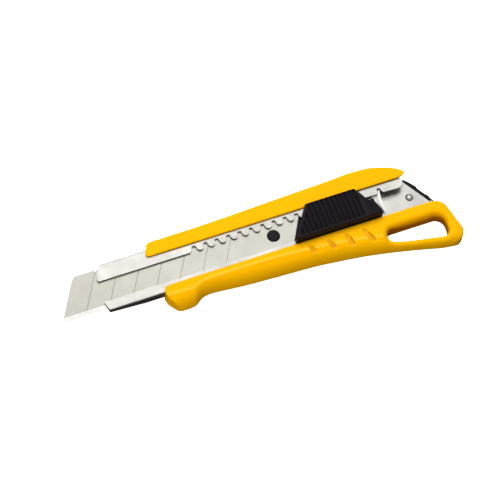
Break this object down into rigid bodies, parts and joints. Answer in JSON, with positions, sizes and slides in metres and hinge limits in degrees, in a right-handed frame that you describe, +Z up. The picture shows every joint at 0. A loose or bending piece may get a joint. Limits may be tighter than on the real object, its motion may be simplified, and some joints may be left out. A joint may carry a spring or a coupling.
{
  "type": "snap-off utility knife",
  "caption": "Snap-off utility knife: moulded grip with a lanyard loop, spine rail, steel blade channel with a notched rack, scored blade and a ribbed thumb slider that locks.",
  "frame": {"origin": "bottom centre of the closed box round the knife, lying on its back with the slider up", "axes": "+X from the blade tip to the lanyard loop, +Y from the cutting edge to the spine, +Z up out of the slider's face"},
  "size_m": [0.1708, 0.0432, 0.013],
  "materials": {
    "yellow_plastic": "moulded, semi-gloss",
    "channel_steel": "rolled stainless sheet, satin",
    "blade_steel": "ground tool steel",
    "black_plastic": "moulded, satin",
    "spring_steel": "bright spring strip",
    "rivet_steel": "bright"
  },
  "bodies": {
    "handle": {"grip_body": "yellow_plastic", "spine_rail": "yellow_plastic", "blade_sheath": "channel_steel", "rear_end_plate": "black_plastic", "rear_rivet": "rivet_steel", "sheath_rivets": "rivet_steel"},
    "carrier": {"blade": "blade_steel", "blade_carrier": "black_plastic", "lock_spring": "spring_steel"},
    "slider": {"slider_button": "black_plastic"}
  },
  "joints": [
    {"name": "blade_slide", "type": "slide", "parent": "handle", "child": "carrier", "axis": [1, 0, 0], "range_m": [-0.055, 0.0266], "deforming": ["lock_spring"]},
    {"name": "button_slide", "type": "slide", "parent": "carrier", "child": "slider", "axis": [1, 0, 0], "range_m": [-0.0008, 0.0008], "stiffness_N_per_m": 800}
  ]
}
